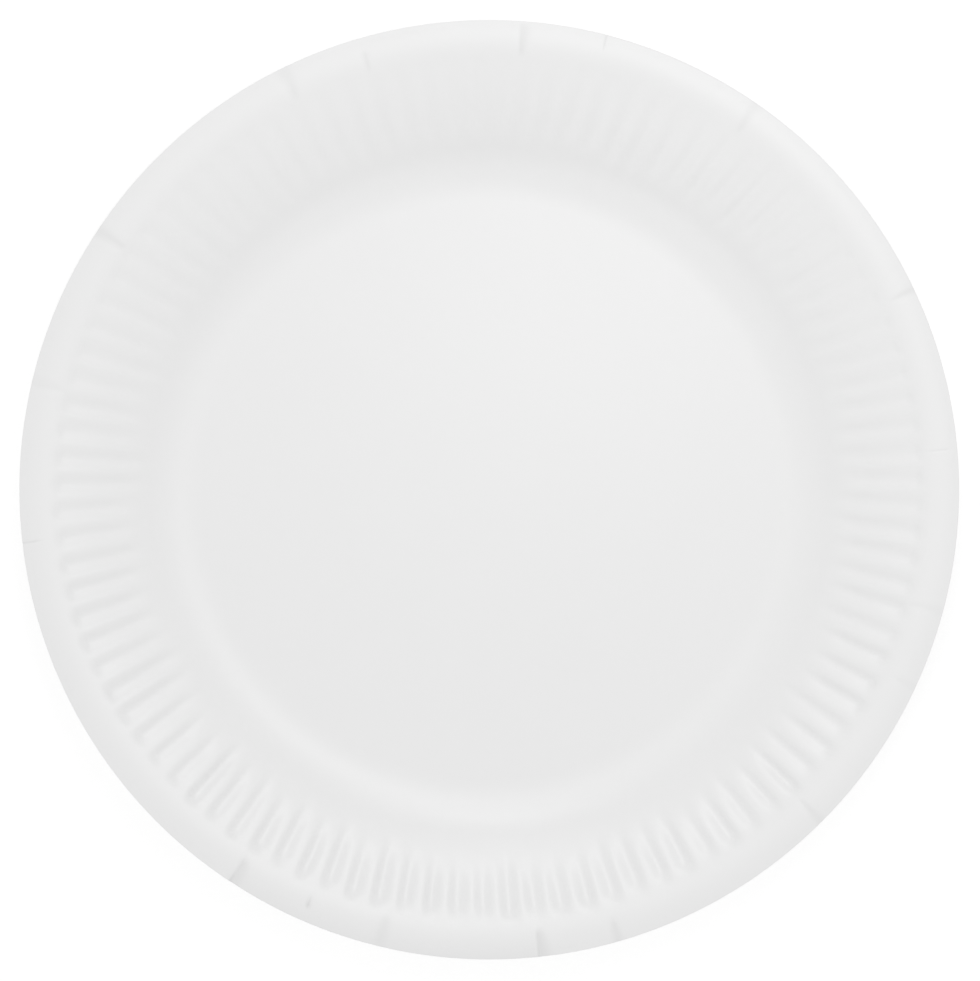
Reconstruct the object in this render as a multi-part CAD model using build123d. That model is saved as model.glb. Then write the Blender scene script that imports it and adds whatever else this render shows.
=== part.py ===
# A round paper plate, pressed from one sheet of coated paperboard.
# It stands on its flat floor: the origin is the middle of the underside and +Z points up,
# out of the open side. Sizes are in millimetres and angles in degrees.

import os
from math import asin, cos, degrees, radians, sin

from build123d import *

# Overall sizes
plate_diameter = 230.0
plate_height = 17.0
board = 0.45

# Section, from the middle outwards: flat floor, hollow heel, fluted wall, rounded brim
floor_diameter = 144.0
heel_radius = 22.0
wall_slope = 35.0
brim_radius = 20.0
brim_crest_inset = 1.5

# Flutes pressed into the wall: flat lands, with a groove between each two
flute_count = 100
flute_depth = 0.8
land_share = 0.42
groove_share = 0.16

# How far up the wall a groove is at each fold across it, and how deep it is there
groove_stages = ((0.22, 0.55), (0.55, 0.9), (0.86, 1.0))

# Pressed board folds in flat panels: how many make up each arc of the section
heel_panels = 3
brim_rise_panels = 2
brim_fall_panels = 1

# Score lines across the brim, where the board gathers, each in line with a groove
score_depth = 0.2
score_width = 0.9
score_angles = (
    5, 25, 55, 76, 86, 106, 116, 147, 167, 187, 236, 246, 256, 276, 286, 315, 335, 345
)

plate_edge = plate_diameter / 2
floor_edge = floor_diameter / 2
pitch = 360 / flute_count


def section_point(centre, radius, slope):
    """The point of an arc of the section where it rises outwards at a slope.

    The arc bulges upwards, or sags where its radius is negative."""
    return (
        centre[0] - radius * sin(radians(slope)),
        centre[1] + radius * cos(radians(slope)),
    )


# The heel sags from the floor's edge, with its centre above that edge
heel_centre = (floor_edge, board + heel_radius)
heel_end = section_point(heel_centre, -heel_radius, wall_slope)

# The brim bulges, and its crest sets the height of the plate
brim_centre = (plate_edge - brim_crest_inset, plate_height - brim_radius)
edge_slope = -degrees(asin(brim_crest_inset / brim_radius))

# The wall is the one arc that carries on from the heel and runs smoothly into the brim
from_brim = (heel_end[0] - brim_centre[0], heel_end[1] - brim_centre[1])
sideways = from_brim[0] * sin(radians(wall_slope)) - from_brim[1] * cos(radians(wall_slope))
distance_squared = from_brim[0] ** 2 + from_brim[1] ** 2
wall_radius = (brim_radius**2 - distance_squared) / (2 * (sideways + brim_radius))
wall_centre = section_point(heel_end, -wall_radius, wall_slope)
brim_slope = degrees(asin((wall_centre[0] - brim_centre[0]) / (wall_radius - brim_radius)))


def spread(first, last, count):
    """Evenly spaced values from first to last, with count steps between them."""
    return [first + (last - first) * n / count for n in range(count + 1)]


# Folds round the plate, from the floor's edge outwards: the arc, the slope and the groove there
heel_rows = [(heel_centre, -heel_radius, s, 0) for s in spread(0, wall_slope, heel_panels)]
wall_rows = [
    (
        wall_centre,
        wall_radius,
        wall_slope + (brim_slope - wall_slope) * share,
        flute_depth * depth_share,
    )
    for share, depth_share in groove_stages
]
brim_slopes = spread(brim_slope, 0, brim_rise_panels)[:-1]
brim_slopes += spread(0, edge_slope, brim_fall_panels)
brim_rows = [(brim_centre, brim_radius, s, 0) for s in brim_slopes]


def corner(row, inset, turn, sunk=0):
    """A point on a fold: inset below the face side, sunk lower still, turned by some pitches."""
    centre, radius, slope, _ = row
    r, z = section_point(centre, radius - inset - sunk, slope)
    return Vector(r, 0, z).rotate(Axis.Z, turn * pitch)


def fold_line(row, inset):
    """The corners of one fold over a pitch, from the middle of a land to the next."""
    depth = row[3]
    if depth == 0:
        return [corner(row, inset, 0), corner(row, inset, 1)]
    return [
        corner(row, inset, -land_share / 2),
        corner(row, inset, land_share / 2),
        corner(row, inset, 0.5 - groove_share / 2, depth),
        corner(row, inset, 0.5 + groove_share / 2, depth),
        corner(row, inset, 1 - land_share / 2),
    ]


def flat(*corners):
    """A flat panel."""
    return Face(Wire.make_polygon(corners))


def flank(a, b, c, d):
    """The slightly twisted side of a groove or a score, between two folds."""
    return Face.make_surface_from_curves(Edge.make_line(a, b), Edge.make_line(d, c))


def groove_end(plain, fluted):
    """The panels that close a land and a groove onto a plain fold."""
    start, end = plain
    left, right, bottom_a, bottom_b, onward = fluted
    return [
        flat(start, left, right),
        flat(start, right, bottom_a),
        flat(start, bottom_a, bottom_b, end),
        flat(end, bottom_b, onward),
    ]


def groove_run(lower, upper):
    """A land, a groove's two sides and its bottom, from one fold to the next."""
    land, near_side, bottom, far_side = [
        (lower[n], lower[n + 1], upper[n + 1], upper[n]) for n in range(4)
    ]
    return [flat(*land), flank(*near_side), flat(*bottom), flank(*far_side)]


def panels(lower, upper):
    """The panels of one pitch between two folds."""
    if len(lower) == len(upper) == 2:
        return [flat(lower[0], lower[1], upper[1], upper[0])]
    if len(lower) == 2:
        return groove_end(lower, upper)
    if len(upper) == 2:
        return groove_end(upper, lower)
    return groove_run(lower, upper)


def sector(rows, inset):
    """The panels of one pitch through all the given folds."""
    lines = [fold_line(row, inset) for row in rows]
    return [face for pair in zip(lines, lines[1:]) for face in panels(*pair)]


def around(faces, places):
    """The faces of one pitch, repeated at the given places round the plate."""
    return [face.rotate(Axis.Z, pitch * place) for place in places for face in faces]


def score_lips(row):
    """Where a score crosses a fold of the brim: one lip, the bottom and the other lip."""
    start, end = fold_line(row, 0)
    middle = (start + end) / 2
    under_middle = sum(fold_line(row, board), Vector()) / 2
    reach = (end - start).normalized() * (score_width / 2)
    down = (under_middle - middle).normalized() * score_depth
    return middle - reach, middle + down, middle + reach


def scored_brim():
    """The face side of the brim over one pitch, with a score from its inner panel outwards."""
    inner, *outer = [(*fold_line(row, 0), *score_lips(row)) for row in brim_rows]
    start, end, *_ = inner
    next_start, next_end, left, bottom, right = outer[0]
    tip = (start + end + next_start + next_end) / 4
    faces = [
        flat(start, end, next_end, right, tip, left, next_start),
        flat(tip, left, bottom),
        flat(tip, bottom, right),
    ]
    for lower, upper in zip(outer, outer[1:]):
        a, b, left, bottom, right = lower
        c, d, left_out, bottom_out, right_out = upper
        faces += [
            flat(a, left, left_out, c),
            flank(left, bottom, bottom_out, left_out),
            flank(bottom, right, right_out, bottom_out),
            flat(right, b, d, right_out),
        ]
    return faces


def floor_face(inset):
    """The flat floor of one side of the board, with a corner at each land."""
    first = corner(heel_rows[0], inset, 0)
    return flat(*[first.rotate(Axis.Z, pitch * place) for place in range(flute_count)])


def plate():
    """The whole plate as one solid, sewn from its two sides and its cut edge."""
    everywhere = range(flute_count)
    scored = sorted({round(angle / pitch - 0.5) % flute_count for angle in score_angles})
    plain = [place for place in everywhere if place not in scored]

    dish_rows = heel_rows + wall_rows + brim_rows[:1]
    face_side = around(sector(dish_rows, 0), everywhere)
    face_side += around(sector(brim_rows, 0), plain)
    face_side += around(scored_brim(), scored)
    underside = around(sector(heel_rows + wall_rows + brim_rows, board), everywhere)

    start, end = fold_line(brim_rows[-1], 0)
    under_start, under_end = fold_line(brim_rows[-1], board)
    left, bottom, right = score_lips(brim_rows[-1])
    rim = around([flat(start, end, under_end, under_start)], plain)
    rim += around([flat(start, left, bottom, right, end, under_end, under_start)], scored)

    skin = [floor_face(0), *face_side, *rim, *underside, floor_face(board)]
    return Solid(Shell(skin))


os.makedirs("parts", exist_ok=True)
export_step(plate(), "parts/plate.step")
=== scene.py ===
# %% [markdown]
# # A pressed paper plate
# This lesson dresses a paper plate. The CAD model gives its true size and its folds as flat
# panels. Here the same sheet gets what the press leaves on a real one: rounded flutes that
# are never quite even, fine scores across the brim, a glazed face, a bare back and a raw
# cut edge.

# %% Load the CAD frame
import random
from math import atan2, asin, cos, degrees, exp, floor, hypot, pi, radians, sin

import bmesh
import bpy
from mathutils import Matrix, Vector


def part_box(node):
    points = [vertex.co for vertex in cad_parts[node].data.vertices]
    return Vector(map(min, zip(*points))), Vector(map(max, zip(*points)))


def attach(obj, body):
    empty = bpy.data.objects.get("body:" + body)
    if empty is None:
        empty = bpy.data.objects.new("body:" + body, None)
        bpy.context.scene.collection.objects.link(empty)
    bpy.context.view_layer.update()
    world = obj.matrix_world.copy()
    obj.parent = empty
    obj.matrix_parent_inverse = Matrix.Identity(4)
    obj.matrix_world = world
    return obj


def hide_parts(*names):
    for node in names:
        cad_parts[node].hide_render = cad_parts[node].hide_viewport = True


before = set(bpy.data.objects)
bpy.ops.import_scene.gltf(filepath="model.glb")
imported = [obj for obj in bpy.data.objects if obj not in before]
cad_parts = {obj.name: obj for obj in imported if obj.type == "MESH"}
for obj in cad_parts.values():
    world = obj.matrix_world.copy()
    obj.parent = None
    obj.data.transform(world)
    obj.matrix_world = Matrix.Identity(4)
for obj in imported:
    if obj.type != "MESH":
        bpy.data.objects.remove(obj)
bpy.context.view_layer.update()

# %% [markdown]
# ## The section of the plate
# Cut the plate through its middle and the board shows one line: flat floor, sagging heel,
# nearly straight wall, and a brim that rounds over to level. Each bend is an arc, so a
# handful of sizes gives the whole line. The height and the radius come from the CAD box.
# The others are the ones that the CAD model was drawn with, now in metres.

# %% Sizes of the section
mm = 0.001
low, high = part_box("plate")
plate_radius = high.x
plate_height = high.z
board = 0.45 * mm
floor_radius = 72 * mm
heel_radius = 22 * mm
heel_slope = radians(35)
brim_radius = 20 * mm
brim_crest_inset = 1.5 * mm
print(f"plate {2 * plate_radius / mm:.1f} mm across and {plate_height / mm:.1f} mm high")

# %% [markdown]
# A wall that leaves the heel and meets the brim without a kink can only be one arc. Its
# centre lies on the line square to the heel's end, and the two circles touch where the
# distance between their centres is the difference of their radii.

# %% Centres of the three arcs
inward = Vector((sin(heel_slope), 0, -cos(heel_slope)))
heel_centre = Vector((floor_radius, 0, board + heel_radius))
heel_end = heel_centre + inward * heel_radius
brim_centre = Vector((plate_radius - brim_crest_inset, 0, plate_height - brim_radius))
edge_slope = -asin(brim_crest_inset / brim_radius)

from_brim = heel_end - brim_centre
wall_radius = (brim_radius**2 - from_brim.length_squared) / (
    2 * (from_brim.dot(inward) + brim_radius)
)
wall_centre = heel_end + inward * wall_radius
brim_slope = asin((wall_centre.x - brim_centre.x) / (wall_radius - brim_radius))
flute_end = brim_centre + Vector((-sin(brim_slope), 0, cos(brim_slope))) * brim_radius
print(f"wall radius {wall_radius / mm:.1f} mm")
print(f"wall from {heel_end.x / mm:.1f} to {flute_end.x / mm:.1f} mm out")

# %% [markdown]
# ## Spin the arcs, then spin the plate
# A vertex that is spun about an arc's centre draws that arc. Four such strokes, end to end,
# draw the section, and spinning the section about the plate's axis makes the sheet. The
# number of steps round is a multiple of the flute count, so that every flute gets the same
# ten columns of vertices. The last step of the brim is a very short one: smooth shading
# bends the light over the last row of faces before a cut edge, and a narrow row hides that.

# %% Draw the section with one vertex
flute_count = 100
columns_per_flute = 10
heel_rows, wall_rows, brim_rows = 6, 29, 6
rim_step = 0.12 * mm / brim_radius

sheet = bmesh.new()


def stroke(start, centre, axis, angle, steps):
    """Spins a vertex about a centre in the section's plane and gives back the last one."""
    drawn = bmesh.ops.spin(
        sheet, geom=[start], cent=centre, axis=axis, angle=angle, steps=steps, use_duplicate=False
    )
    return [item for item in drawn["geom_last"] if isinstance(item, bmesh.types.BMVert)][0]


across_the_page = Vector((0, 1, 0))
middle = sheet.verts.new((0, 0, board))
pen = middle
for reach in (0.6, 1.0):
    grown = bmesh.ops.extrude_vert_indiv(sheet, verts=[pen])
    pen = grown["verts"][0]
    pen.co.x = floor_radius * reach
pen = stroke(pen, heel_centre, -across_the_page, heel_slope, heel_rows)
pen = stroke(pen, wall_centre, across_the_page, heel_slope - brim_slope, wall_rows)
pen = stroke(pen, brim_centre, across_the_page, brim_slope - edge_slope - rim_step, brim_rows)
pen = stroke(pen, brim_centre, across_the_page, rim_step, 1)
print(f"section of {len(sheet.verts)} vertices, ending {pen.co.x / mm:.2f} mm out")

# %% Spin the section into a sheet
columns = flute_count * columns_per_flute
bmesh.ops.spin(
    sheet,
    geom=sheet.verts[:] + sheet.edges[:],
    cent=(0, 0, 0),
    axis=(0, 0, 1),
    angle=2 * pi,
    steps=columns,
    use_merge=True,
)
bmesh.ops.remove_doubles(sheet, verts=sheet.verts, dist=0.001 * mm)
bmesh.ops.recalc_face_normals(sheet, faces=sheet.faces)
if sum(face.normal.z for face in sheet.faces) < 0:
    bmesh.ops.reverse_faces(sheet, faces=sheet.faces)
print(f"sheet of {len(sheet.faces)} faces")

# %% [markdown]
# ## Fine columns for the creases
# Where the board gathers, it is creased across the brim. Eighteen creases show in the
# photograph. Some are a few tenths of a millimetre wide, finer than the columns, so the
# brim is bisected by three planes along each one. Cutting only the brim's faces near it
# keeps the mesh light.

# %% List the creases
# angle: depth, width of the side before it, width of the side after it, how far from the
# edge it starts and how far from the edge it ends, all in mm, and how much painted shade
# greys the board along the crease
creases = {
    5.0: (0.05, 0.5, 0.5, 7.5, 1.5, 0.03),
    25.2: (0.08, 1.7, 2.0, 6.4, 0, 0.055),
    55.2: (0.08, 2.6, 2.6, 9.0, 0, 0.04),
    75.5: (0.10, 0.5, 0.5, 4.6, 0, 0.075),
    86.0: (0.10, 3.6, 1.0, 9.0, 0.5, 0.065),
    106.0: (0.07, 1.8, 2.0, 9.0, 2.8, 0.045),
    116.2: (0.08, 3.4, 3.6, 9.0, 0, 0.04),
    146.5: (0.09, 2.8, 2.8, 8.5, 0, 0.055),
    167.0: (0.05, 4.0, 1.8, 9.0, 0, 0.02),
    186.5: (0.09, 0.5, 0.6, 4.8, 0, 0.075),
    236.5: (0.25, 1.0, 5.2, 7.2, 0, 0.075),
    246.4: (0.15, 1.2, 1.2, 6.4, 3.0, 0.14),
    256.4: (0.15, 3.2, 3.6, 8.0, 0, 0.045),
    276.2: (0.25, 0.8, 4.8, 7.0, 0, 0.085),
    286.0: (0.12, 2.4, 2.4, 6.2, 0, 0.06),
    315.0: (0.10, 2.0, 2.2, 8.0, 0, 0.045),
    335.0: (0.05, 2.0, 2.0, 6.4, 0, 0.018),
    344.8: (0.05, 2.4, 2.4, 9.0, 0, 0.018),
}
print(f"{len(creases)} creases")

# %% Cut three lines into the brim along each crease
crease_lip = 0.35 * mm
pitch = 2 * pi / flute_count


def turn_of(point):
    """The angle of a point round the plate, from 0 to a full turn."""
    return atan2(point.y, point.x) % (2 * pi)


def gap_between(angle_a, angle_b):
    """The signed angle from one direction to another, the short way."""
    return (angle_a - angle_b + pi) % (2 * pi) - pi


brim_faces = [
    (turn_of(panel.calc_center_median()), panel)
    for panel in sheet.faces
    if hypot(*panel.calc_center_median().xy) > flute_end.x
]
for crease in creases:
    angle = radians(crease)
    near = [panel for turn, panel in brim_faces if abs(gap_between(turn, angle)) < pitch / 4]
    for step in (-1, 0, 1):
        cut_angle = angle + step * crease_lip / plate_radius
        edges = {edge for panel in near for edge in panel.edges}
        verts = {vert for panel in near for vert in panel.verts}
        cut = bmesh.ops.bisect_plane(
            sheet,
            geom=near + list(edges) + list(verts),
            dist=0.0001 * mm,
            plane_co=(0, 0, 0),
            plane_no=(-sin(cut_angle), cos(cut_angle), 0),
        )
        near = [item for item in cut["geom"] if isinstance(item, bmesh.types.BMFace)]
print(f"{len(creases)} creases cut in, {len(sheet.faces)} faces")

# %% [markdown]
# ## Press the flutes
# Raising a flat disc into a dish leaves too much board round the wall, and the press takes
# it up in radial flutes. They start at the heel, deepen outwards, and end bluntly where the
# brim begins. Each vertex of the wall is pushed down, square to the wall, by the depth of
# the groove at that place. A raised cosine gives the soft wave of pressed board, and a
# power makes it a little broader or a little sharper from one groove to the next.
#
# Two things are uneven all round. The die sat a millimetre off the middle of the trimmed
# disc, so the grooves drift to and fro by part of their width. And it pressed harder on
# the side that is at the bottom of the photograph, where the flutes look twice as deep.
#
# Paper never folds twice the same way either. Each groove gets its own depth, start, end
# and sideways shift from a seeded random generator. The few that stand out in the
# photograph are named by their angle. Round the bottom of the photograph they all lean over,
# to the left on its left and to the right on its right, which leaves each groove a steep
# flank that looks dark and a gentle one that looks pale. Where the two ways of leaning
# part, the grooves are calmer, start later and fade out more slowly.

# %% Give each groove its own habit
deep_grooves = {
    207.4: 1.2, 225.3: 1.25, 235.8: 1.2, 243.0: 1.2, 250.2: 1.15, 254.0: 1.2, 261.2: 1.3,
    305.0: 1.2, 315.5: 1.3, 330.5: 1.2, 334.1: 1.15, 337.5: 1.2,
}
dice = random.Random(23)
grooves = [
    {
        "depth": dice.uniform(0.85, 1.15),
        "start": dice.uniform(-0.06, 0.08),
        "close": dice.uniform(0.06, 0.09),
        "shift": dice.uniform(-0.03, 0.03),
        "sway": dice.uniform(-0.025, 0.025),
        "turns": dice.uniform(1.0, 2.5),
        "sharpness": dice.uniform(0.85, 1.25),
    }
    for _ in range(flute_count)
]
for angle, factor in deep_grooves.items():
    grooves[int(radians(angle) / pitch)]["depth"] = factor
print(f"{len(grooves)} grooves, {len(deep_grooves)} of them named")

# %% [markdown]
# Two functions turn habits into a depth. The first finds the groove that a point of the
# wall is in, and how near its bottom the point is. It measures across the flutes in
# pitches, so that one groove is one unit wide. The second adds what changes along the
# groove and round the plate. Every share that they use goes from 0 at the heel to 1 at the
# brim.

# %% Find the groove at a point
first_groove = 0.12
drift, drift_towards = 0.17, radians(221)
splay_at_heel, splay_rise = 0.6, 0.9
parting, parting_reach, parting_fade = radians(276), radians(75), radians(25)
full_lean_after = radians(15)
lean_bend, lean_shift = 0.18, 0.11


def ease(share):
    """A smooth step from 0 to 1."""
    return 0.5 - 0.5 * cos(pi * min(max(share, 0), 1))


def leaning_over(turn):
    """How far the grooves lean over at an angle, from -1 to 1, and 0 where they stand straight."""
    past = gap_between(turn, parting)
    near = ease((parting_reach - abs(past)) / parting_fade)
    return near * min(max(past / full_lean_after, -1), 1)


def groove_at(share, turn):
    """The groove that a point is in, and how near its bottom the point is, from 0 to 1."""
    leaning = leaning_over(turn)
    splay = splay_at_heel + splay_rise * share
    place = turn / pitch - first_groove - drift * splay * cos(turn - drift_towards)
    place += lean_shift * leaning
    groove = grooves[floor(place) % flute_count]
    aside = place - floor(place) - 0.5
    bend = groove["shift"] + groove["sway"] * sin(2 * pi * groove["turns"] * share)
    bend += lean_bend * leaning
    aside -= bend * (1 - (2 * aside) ** 2)
    return groove, (0.5 + 0.5 * cos(2 * pi * aside)) ** groove["sharpness"]


found, across = groove_at(0.5, radians(2))
print(f"2 degrees round, half way up: groove {grooves.index(found)}, {across:.2f} of its depth")

# %% Say how deep a groove is
flute_depth = 0.66 * mm
press_tilt, tilt_at_heel, press_towards = 0.55, 0.6, radians(262)
faintness, faint_side = 0.4, radians(140)
run_in, run_in_gain = 0.4, 0.14
run_out_gain = 2.2
late_start, calming = 0.22, 0.27


def groove_depth(share, turn):
    """How far a point is pressed in, at a share of the way up the wall and an angle round."""
    groove, across = groove_at(share, turn)
    at_parting = max(0, cos(turn - parting)) ** 2
    start = groove["start"] + late_start * at_parting
    opening = ease((share - start) / (run_in + run_in_gain * at_parting))
    closing = ease((1 - share) / (groove["close"] * (1 + run_out_gain * at_parting)))
    pressed_harder = 1 + press_tilt * (tilt_at_heel + share) * cos(turn - press_towards)
    pressed_harder *= 1 - calming * at_parting
    pressed_harder *= 1 - faintness * max(0, cos(turn - faint_side)) ** 3
    return flute_depth * groove["depth"] * pressed_harder * across * opening * closing


print("deepest at the bottom:", round(groove_depth(0.8, radians(251)) / mm, 2), "mm")

# %% Push the wall's vertices into their grooves
short_of_brim = 0.01 * mm
pressed = 0
for vert in sheet.verts:
    out = hypot(vert.co.x, vert.co.y)
    if heel_end.x < out < flute_end.x - short_of_brim:
        turn = turn_of(vert.co)
        from_centre = Vector((out - wall_centre.x, 0, vert.co.z - wall_centre.z))
        slope = atan2(-from_centre.x, from_centre.z)
        share = (heel_slope - slope) / (heel_slope - brim_slope)
        sunk = from_centre.normalized() * -groove_depth(share, turn)
        vert.co += Vector((sunk.x * cos(turn), sunk.x * sin(turn), sunk.z))
        pressed += 1
print(f"{pressed} vertices pressed")

# %% [markdown]
# ## Crease the brim
# Seen close, a crease is a shallow valley that runs out over the edge. At the two deepest
# ones, at the bottom of the photograph, the edge has also bent down on one side, sharply at
# the crease and less and less away from it. The stretch between them hangs a little lower
# all along. Each vertex also keeps how much painted shade greys it, for the material to
# use: it darkens the crease valleys and the hanging edge, where shade falls.

# %% How far the bent edge hangs down
# from angle to angle: droop at the start and droop further on, in mm, and how many degrees
# it takes to settle
droops = ((236.3, 276.0, 0.45, 0.28, 3.0), (276.0, 280.0, 0.35, 0.0, 1.3))
droop_width = 4.6 * mm
droop_begins_in, droop_ends_in = 0.35, 0.7


def droop_at(turn):
    """How far the edge hangs down at an angle round the plate."""
    for first, last, sudden, steady, soon in droops:
        if first < degrees(turn) < last:
            past, left = degrees(turn) - first, last - degrees(turn)
            level = steady + (sudden - steady) * exp(-past / soon)
            return level * mm * ease(past / droop_begins_in) * ease(left / droop_ends_in)
    return 0


print("edge hangs down at most", max(sudden for _, _, sudden, _, _ in droops), "mm")

# %% Sink the brim along the creases
folds = [
    (radians(angle), depth * mm, before * mm, after * mm, (first * mm, last * mm), shade)
    for angle, (depth, before, after, first, last, shade) in creases.items()
]
crease_zone = flute_end.x - 2 * mm
narrowing = 0.6
crease_opens_in, crease_closes_in = 1.8 * mm, 1.2 * mm
# painted shade along the hanging edge, for each mm that it hangs down
droop_shade = 0.07 / mm
# painted shade, kept on each vertex: how much darker the material draws it
painted_shade = sheet.verts.layers.float.new("painted_shade")
for vert in sheet.verts:
    out = hypot(vert.co.x, vert.co.y)
    if out <= crease_zone:
        continue
    turn = turn_of(vert.co)
    for angle, depth, before, after, (first, last), shade in folds:
        aside = gap_between(turn, angle) * out
        from_edge = plate_radius - out
        width = (after if aside > 0 else before) * (1 - narrowing * from_edge / first)
        if from_edge < first and abs(aside) < width:
            valley = 0.5 + 0.5 * cos(pi * aside / width)
            valley *= ease((first - from_edge) / crease_opens_in)
            valley *= ease((from_edge - last) / crease_closes_in) if last else 1
            vert.co.z -= depth * valley
            # painted shade in the crease's valley
            vert[painted_shade] = max(vert[painted_shade], shade * valley)
    droop = droop_at(turn) * max(0, (out - plate_radius) / droop_width + 1) ** 2
    vert.co.z -= droop
    # painted shade where the edge hangs down
    vert[painted_shade] = max(vert[painted_shade], droop_shade * droop)
lowest = min(vert.co.z for vert in sheet.verts if vert.is_boundary)
print("lowest point of the brim's edge:", round(lowest / mm, 2), "mm")

# %% [markdown]
# ## Give the sheet its thickness
# So far the sheet is a surface. Solidify grows it downwards, square to itself, by the
# thickness of the board, so the flutes show on the underside as they do on pressed board.
# The two sides and the cut edge look different on a real plate, so each gets its own
# material number while it is easy to tell which faces are new.

# %% Thicken the sheet
FACE, BACK, CUT = 0, 1, 2
face_side = set(sheet.faces)
bmesh.ops.solidify(sheet, geom=sheet.faces[:], thickness=board)
for panel in sheet.faces:
    if panel not in face_side:
        on_rim = any(other in face_side for edge in panel.edges for other in edge.link_faces)
        panel.material_index = CUT if on_rim else BACK
print("cut edge:", sum(panel.material_index == CUT for panel in sheet.faces), "faces")

# %% [markdown]
# A knife never leaves a perfectly sharp corner in board. A narrow bevel on both corners of
# the cut edge catches the light as the fine bright line round a real plate does.

# %% Ease the cut edge
corner_ease = 0.07 * mm
corners = [
    edge
    for edge in sheet.edges
    if len({panel.material_index for panel in edge.link_faces} & {CUT}) == 1
    and len({panel.material_index for panel in edge.link_faces}) == 2
]
bmesh.ops.bevel(
    sheet,
    geom=corners,
    offset=corner_ease,
    offset_type="OFFSET",
    affect="EDGES",
    segments=2,
    profile=0.5,
    material=-1,
)
for panel in sheet.faces:
    panel.smooth = True
print(f"{len(corners)} corner edges eased, {len(sheet.faces)} faces")

# %% Make it an object
plate_mesh = bpy.data.meshes.new("pressed_plate")
sheet.to_mesh(plate_mesh)
sheet.free()
plate = bpy.data.objects.new("pressed_plate", plate_mesh)
bpy.context.scene.collection.objects.link(plate)
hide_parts("plate")
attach(plate, "root")
triangles = sum(len(panel.vertices) - 2 for panel in plate_mesh.polygons)
print(f"{triangles} triangles, {len(plate_mesh.vertices)} vertices")

# %% [markdown]
# ## What board looks like
# Paperboard is matted fibres under a thin coat of clay. From arm's length it is plain white,
# and close up it has faint clouds where the fibres lie thicker, and a fine tooth. The face,
# the back and the cut edge all share this, in different strengths, so it is built once as
# a node group. Noise on Object coordinates keeps the pattern still when the camera moves.

# %% A node group for board fibres
fibres = bpy.data.node_groups.new("board fibres", "ShaderNodeTree")
for name, kind, value in (
    ("Colour", "NodeSocketColor", (0.84, 0.84, 0.84, 1)),
    ("Cloud Colour", "NodeSocketColor", (0.83, 0.83, 0.83, 1)),
    ("Cloud Size", "NodeSocketFloat", 90.0),
    ("Tooth Size", "NodeSocketFloat", 2600.0),
    ("Stretch", "NodeSocketVector", (1, 1, 1)),
):
    socket = fibres.interface.new_socket(name, in_out="INPUT", socket_type=kind)
    socket.default_value = value
for name, kind in (
    ("Colour", "NodeSocketColor"),
    ("Height", "NodeSocketFloat"),
    ("Sheen Break", "NodeSocketFloat"),
):
    fibres.interface.new_socket(name, in_out="OUTPUT", socket_type=kind)


def add(tree, kind, x, y, **settings):
    """Adds a node at a place in the editor and sets its properties."""
    node = tree.nodes.new(kind)
    node.location = (x, y)
    for key, value in settings.items():
        setattr(node, key, value)
    return node


given = add(fibres, "NodeGroupInput", -900, 0)
wanted = add(fibres, "NodeGroupOutput", 500, 0)
place = add(fibres, "ShaderNodeTexCoord", -900, -250)
stretch = add(fibres, "ShaderNodeVectorMath", -650, -200, operation="MULTIPLY")
clouds = add(fibres, "ShaderNodeTexNoise", -400, 150)
clouds.inputs["Detail"].default_value = 4
tooth = add(fibres, "ShaderNodeTexNoise", -400, -150)
tooth.inputs["Detail"].default_value = 3
tooth.inputs["Distortion"].default_value = 0.6
blend = add(fibres, "ShaderNodeMix", -100, 150, data_type="RGBA")
lift = add(fibres, "ShaderNodeMath", -100, -150, operation="MULTIPLY_ADD")
lift.inputs[1].default_value = 0.35
link = fibres.links.new
link(place.outputs["Object"], stretch.inputs[0])
link(given.outputs["Stretch"], stretch.inputs[1])
for noise, size in ((clouds, "Cloud Size"), (tooth, "Tooth Size")):
    link(stretch.outputs[0], noise.inputs["Vector"])
    link(given.outputs[size], noise.inputs["Scale"])
link(clouds.outputs["Fac"], blend.inputs["Factor"])
link(given.outputs["Colour"], blend.inputs["A"])
link(given.outputs["Cloud Colour"], blend.inputs["B"])
link(clouds.outputs["Fac"], lift.inputs[0])
link(tooth.outputs["Fac"], lift.inputs[2])
link(blend.outputs["Result"], wanted.inputs["Colour"])
link(lift.outputs[0], wanted.inputs["Height"])
link(tooth.outputs["Fac"], wanted.inputs["Sheen Break"])
print("group sockets:", [item.name for item in fibres.interface.items_tree])

# %% [markdown]
# ## Three finishes of one board
# The face is glazed: its clay coat is pressed smooth by the hot tool, which gives it a
# satin gloss. The back is bare board, duller and a little toothier. The cut edge shows
# the layers of the sheet, and has no gloss at all. All three carry painted shade: they go
# greyer where the vertices hold shade, in the creases and along the hanging edge.

# %% One function for the three finishes, and the glazed face


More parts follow.
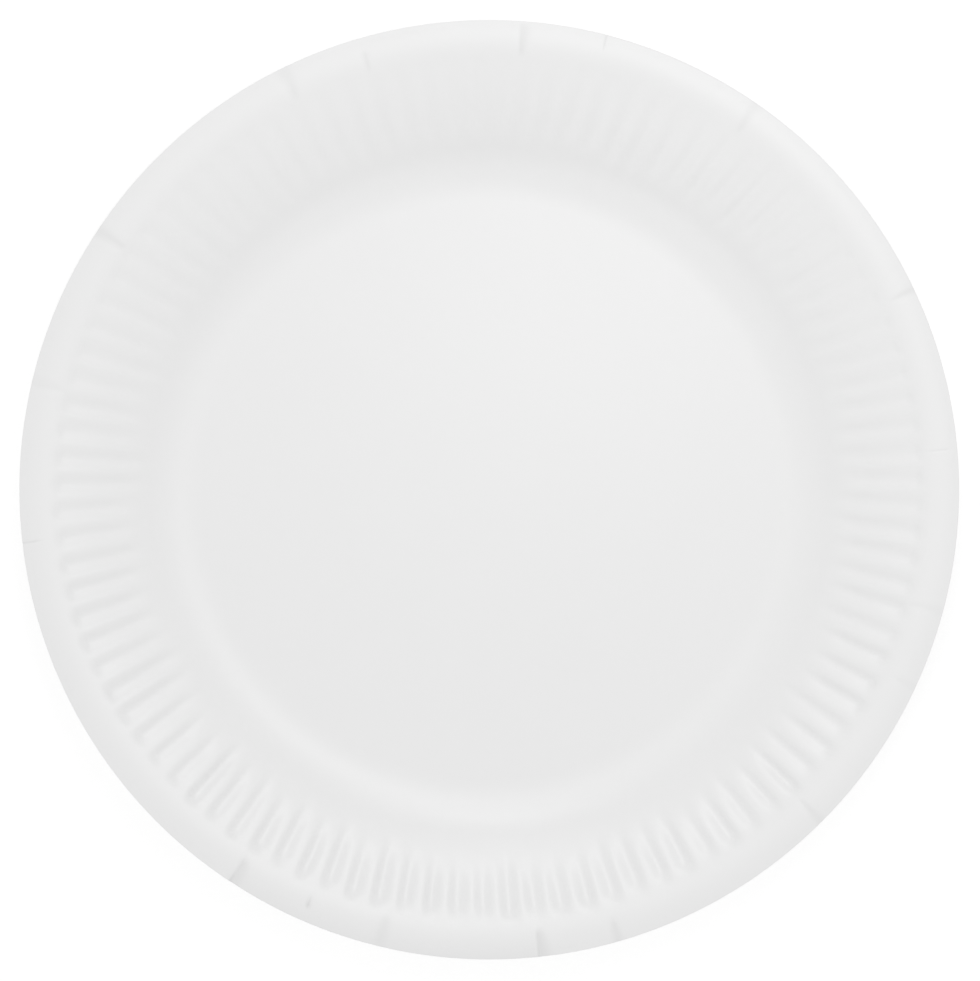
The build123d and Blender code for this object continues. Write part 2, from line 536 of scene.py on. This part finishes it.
def board_finish(name, colours, sizes, roughness, bump, stretched=(1, 1, 1)):
    """A board material: fibres drive its colour, roughness and bump, and painted shade greys it at
    the creases.
    """
    finish = bpy.data.materials.new(name)
    finish.use_nodes = True
    tree = finish.node_tree
    shader = tree.nodes["Principled BSDF"]
    weave = add(tree, "ShaderNodeGroup", -700, 0, node_tree=fibres)
    weave.inputs["Colour"].default_value = (*colours[0], 1)
    weave.inputs["Cloud Colour"].default_value = (*colours[1], 1)
    weave.inputs["Cloud Size"].default_value = sizes[0]
    weave.inputs["Tooth Size"].default_value = sizes[1]
    weave.inputs["Stretch"].default_value = stretched
    gloss = add(tree, "ShaderNodeMapRange", -350, -50)
    gloss.inputs["From Min"].default_value = 0.3
    gloss.inputs["From Max"].default_value = 0.7
    gloss.inputs["To Min"].default_value = roughness[0]
    gloss.inputs["To Max"].default_value = roughness[1]
    relief = add(tree, "ShaderNodeBump", -350, -350)
    relief.inputs["Strength"].default_value = bump[0]
    relief.inputs["Distance"].default_value = bump[1]
    # painted shade: the vertices' shade darkens the base colour
    painted_shade_attribute = add(tree, "ShaderNodeAttribute", -700, 300, attribute_name="painted_shade")
    keep = add(tree, "ShaderNodeMath", -500, 300, operation="SUBTRACT")
    keep.inputs[0].default_value = 1
    shaded_colour = add(tree, "ShaderNodeVectorMath", -300, 250, operation="SCALE")
    tree.links.new(painted_shade_attribute.outputs["Fac"], keep.inputs[1])
    tree.links.new(weave.outputs["Colour"], shaded_colour.inputs[0])
    tree.links.new(keep.outputs[0], shaded_colour.inputs["Scale"])
    tree.links.new(shaded_colour.outputs[0], shader.inputs["Base Color"])
    tree.links.new(weave.outputs["Sheen Break"], gloss.inputs["Value"])
    tree.links.new(gloss.outputs["Result"], shader.inputs["Roughness"])
    tree.links.new(weave.outputs["Height"], relief.inputs["Height"])
    tree.links.new(relief.outputs["Normal"], shader.inputs["Normal"])
    return finish


glazed_face = board_finish(
    "glazed face",
    colours=((0.845, 0.845, 0.845), (0.835, 0.835, 0.835)),
    sizes=(60, 1800),
    roughness=(0.36, 0.42),
    bump=(0.25, 0.01 * mm),
)
print(f"{glazed_face.name}: {len(glazed_face.node_tree.nodes)} nodes")

# %% Bare back and raw edge
bare_back = board_finish(
    "bare back",
    colours=((0.83, 0.826, 0.815), (0.79, 0.785, 0.77)),
    sizes=(140, 1400),
    roughness=(0.62, 0.78),
    bump=(0.4, 0.03 * mm),
)
raw_edge = board_finish(
    "raw edge",
    colours=((0.82, 0.815, 0.80), (0.70, 0.69, 0.67)),
    sizes=(500, 2500),
    roughness=(0.8, 0.95),
    bump=(0.5, 0.04 * mm),
    stretched=(1, 1, 9),
)
for finish in (glazed_face, bare_back, raw_edge):
    plate_mesh.materials.append(finish)
print("finishes:", [finish.name for finish in plate_mesh.materials])

# %% [markdown]
# ## A white table
# The plate lies on plain white. To keep the page white and the lamps low, the table shows
# the camera mostly its own white and only partly the light that falls on it. The part that
# it does show keeps the soft shadow under the brim. To every other ray the table is an
# ordinary pale floor, so the plate gets the bounce it would get in a room. It is lifted by
# a hair, because two faces at exactly the same height flicker where they cover each other.
# A look from below should show the plate's back, so there the table isn't seen at all: its
# lower side is clear, and so is all of it to a ray that has come through that side.

# %% Lay the table
hair = 0.03 * mm
table_mesh = bpy.data.meshes.new("table")
top = bmesh.new()
bmesh.ops.create_grid(top, x_segments=1, y_segments=1, size=1.5)
bmesh.ops.translate(top, verts=top.verts, vec=(0, 0, hair))
top.to_mesh(table_mesh)
top.free()
table = bpy.data.objects.new("table", table_mesh)
bpy.context.scene.collection.objects.link(table)
print("table", table.dimensions.x, "m wide")

# %% Tell the rays that look from those that light


def looking_rays(tree):
    """A socket that is 1 for what the camera sees, directly, in a reflection or through glass."""
    ray = add(tree, "ShaderNodeLightPath", -700, 200)
    seen = add(tree, "ShaderNodeMath", -450, 200, operation="MAXIMUM")
    through = add(tree, "ShaderNodeMath", -250, 200, operation="MAXIMUM")
    tree.links.new(ray.outputs["Is Camera Ray"], seen.inputs[0])
    tree.links.new(ray.outputs["Is Glossy Ray"], seen.inputs[1])
    tree.links.new(seen.outputs[0], through.inputs[0])
    tree.links.new(ray.outputs["Is Transmission Ray"], through.inputs[1])
    return through.outputs[0]


paper_white = bpy.data.materials.new("white table")
paper_white.use_nodes = True
tree = paper_white.node_tree
tree.nodes.clear()
looks = looking_rays(tree)
print("nodes that sort the rays:", len(tree.nodes))

# %% Paint the table
floor_white, shadow_share, own_white = 0.8, 0.22, 0.85
plain = add(tree, "ShaderNodeBsdfDiffuse", -450, -50)
plain.inputs["Color"].default_value = (floor_white, floor_white, floor_white, 1)
shadowed = add(tree, "ShaderNodeBsdfDiffuse", -450, -200)
shadowed.inputs["Color"].default_value = (shadow_share, shadow_share, shadow_share, 1)
glow = add(tree, "ShaderNodeEmission", -450, -350)
glow.inputs["Strength"].default_value = own_white
page = add(tree, "ShaderNodeAddShader", -200, -250)
from_above = add(tree, "ShaderNodeMixShader", 0, 0)
tree.links.new(shadowed.outputs[0], page.inputs[0])
tree.links.new(glow.outputs[0], page.inputs[1])
tree.links.new(looks, from_above.inputs[0])
tree.links.new(plain.outputs[0], from_above.inputs[1])
tree.links.new(page.outputs[0], from_above.inputs[2])
print(f"a look shows {own_white} of the table's own white")

# %% Clear it from below
path = add(tree, "ShaderNodeLightPath", -250, 650)
side = add(tree, "ShaderNodeNewGeometry", -250, 450)
below = add(tree, "ShaderNodeMath", 0, 300, operation="MAXIMUM", use_clamp=True)
nothing = add(tree, "ShaderNodeBsdfTransparent", 0, -250)
one_sided = add(tree, "ShaderNodeMixShader", 200, 0)
surface = add(tree, "ShaderNodeOutputMaterial", 400, 0)
tree.links.new(side.outputs["Backfacing"], below.inputs[0])
tree.links.new(path.outputs["Transparent Depth"], below.inputs[1])
tree.links.new(below.outputs[0], one_sided.inputs[0])
tree.links.new(from_above.outputs[0], one_sided.inputs[1])
tree.links.new(nothing.outputs[0], one_sided.inputs[2])
tree.links.new(one_sided.outputs[0], surface.inputs["Surface"])
table_mesh.materials.append(paper_white)
print("table's nodes:", len(tree.nodes))

# %% [markdown]
# ## Light
# White on white is drawn by small differences of slope, so the light matters more than on
# a coloured object. The photograph has strong even light from all over the room, which
# fills the flutes. One soft box hangs nearly overhead, a little towards the top right of the
# picture, and gives the hollow heel opposite it a dull highlight. One stands lower beyond
# the top edge, and puts a sheen on the flanks of the flutes at the bottom. Two weak ones
# beyond the bottom corners fill the shade under the flutes. A last one hangs under the
# table, which stops its light for every look from above: it only draws the flutes' back.

# %% The room
room_level = 0.690
room = bpy.data.worlds.new("white room")
bpy.context.scene.world = room
room.use_nodes = True
tree = room.node_tree
tree.nodes.clear()
walls = add(tree, "ShaderNodeBackground", -250, 0)
walls.inputs["Color"].default_value = (1, 1, 1, 1)
walls.inputs["Strength"].default_value = room_level
backdrop = add(tree, "ShaderNodeBackground", -250, -150)
backdrop.inputs["Color"].default_value = (1, 1, 1, 1)
either = add(tree, "ShaderNodeMixShader", 0, 0)
sky = add(tree, "ShaderNodeOutputWorld", 200, 0)
tree.links.new(looking_rays(tree), either.inputs[0])
tree.links.new(walls.outputs[0], either.inputs[1])
tree.links.new(backdrop.outputs[0], either.inputs[2])
tree.links.new(either.outputs[0], sky.inputs["Surface"])
print("room level", room_level)

# %% [markdown]
# A lamp's power in watts says little about how bright it makes things, because that also
# depends on how far away it is. Here each lamp is given by its share instead: how bright it
# alone would make a white surface that lies flat at the middle of the plate.

# %% Five softboxes


def softbox(name, share, tilt, turn, distance, size):
    """Hangs a square lamp that faces the plate, tilted off the vertical, turned about it."""
    tilt, turn = radians(tilt), radians(turn)
    direction = Vector((cos(turn) * sin(tilt), sin(turn) * sin(tilt), cos(tilt)))
    light = bpy.data.lights.new(name, "AREA")
    light.shape = "SQUARE"
    light.size = size
    light.energy = share * (pi * distance) ** 2 / abs(cos(tilt))
    lamp = bpy.data.objects.new(name, light)
    lamp.location = direction * distance
    lamp.rotation_euler = direction.to_track_quat("Z", "Y").to_euler()
    lamp.visible_camera = False
    bpy.context.scene.collection.objects.link(lamp)
    print(f"{name}: {light.energy:.2f} W at {[round(value, 2) for value in lamp.location]}")


softbox("overhead box", share=0.137, tilt=17, turn=63, distance=0.37, size=0.12)
softbox("upper box", share=0.086, tilt=43, turn=91, distance=0.8, size=0.17)
softbox("lower left box", share=0.038, tilt=43, turn=235, distance=0.8, size=0.17)
softbox("lower right box", share=0.021, tilt=40, turn=300, distance=0.8, size=0.17)
softbox("box under the table", share=0.16, tilt=125, turn=60, distance=0.8, size=0.17)

# %% [markdown]
# ## Camera
# The photograph looks straight down. The brim fills the frame to within a few millimetres,
# and a fairly long lens keeps the wall from showing more on one side than on the other.

# %% Place the camera
half_frame = 120.05 * mm
off_centre = 0.18 * mm
lens, sensor = 135, 36
camera_data = bpy.data.cameras.new("camera")
camera_data.lens = lens
camera_data.sensor_width = sensor
camera_data.clip_start = 0.01
camera_data.dof.use_dof = False
camera = bpy.data.objects.new("camera", camera_data)
bpy.context.scene.collection.objects.link(camera)
brim_edge_height = brim_centre.z + brim_radius * cos(edge_slope)
distance = half_frame * lens / (sensor / 2)
camera.location = (off_centre, -off_centre, brim_edge_height + distance)
bpy.context.scene.camera = camera
bpy.context.scene.view_settings.view_transform = "Standard"
print(f"camera {camera.location.z:.3f} m up")
